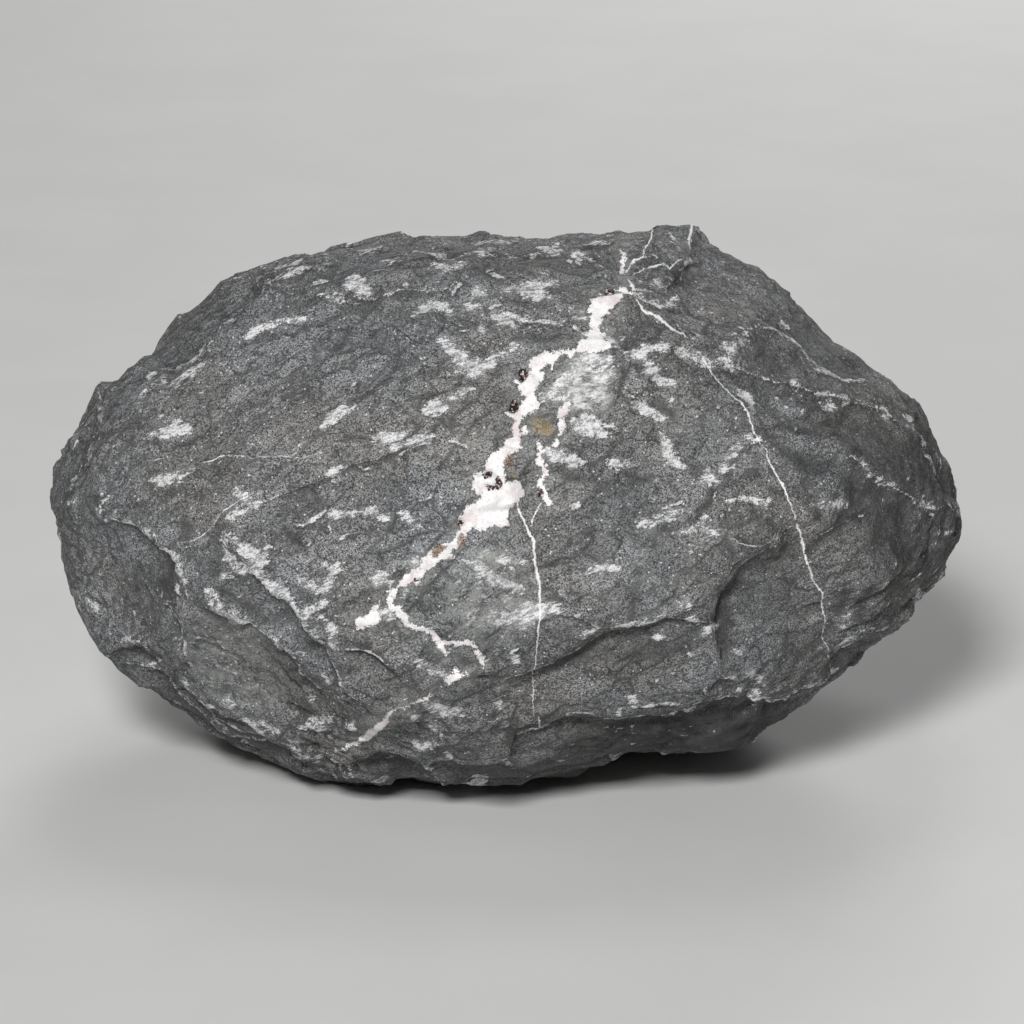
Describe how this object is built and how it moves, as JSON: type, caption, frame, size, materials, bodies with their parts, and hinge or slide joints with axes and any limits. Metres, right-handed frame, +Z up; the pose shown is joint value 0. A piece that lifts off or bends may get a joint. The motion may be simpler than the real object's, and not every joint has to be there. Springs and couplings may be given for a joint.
{
  "type": "geode nodule",
  "caption": "Closed nodule of dark basalt crossed by ragged white mineral veins, as one solid stone that rests on a small flat spot.",
  "frame": {"origin": "middle of the bounding box, on the surface that the stone rests on", "axes": "+X along the stone's length, to the right of its veined face; +Z up; the veined face looks to -Y and a little up"},
  "size_m": [0.25, 0.174, 0.151],
  "materials": {
    "stone": "rough fracture surface, dark grey with white veins and pale bruises"
  },
  "bodies": {
    "root": {"rock": "stone"}
  },
  "joints": []
}
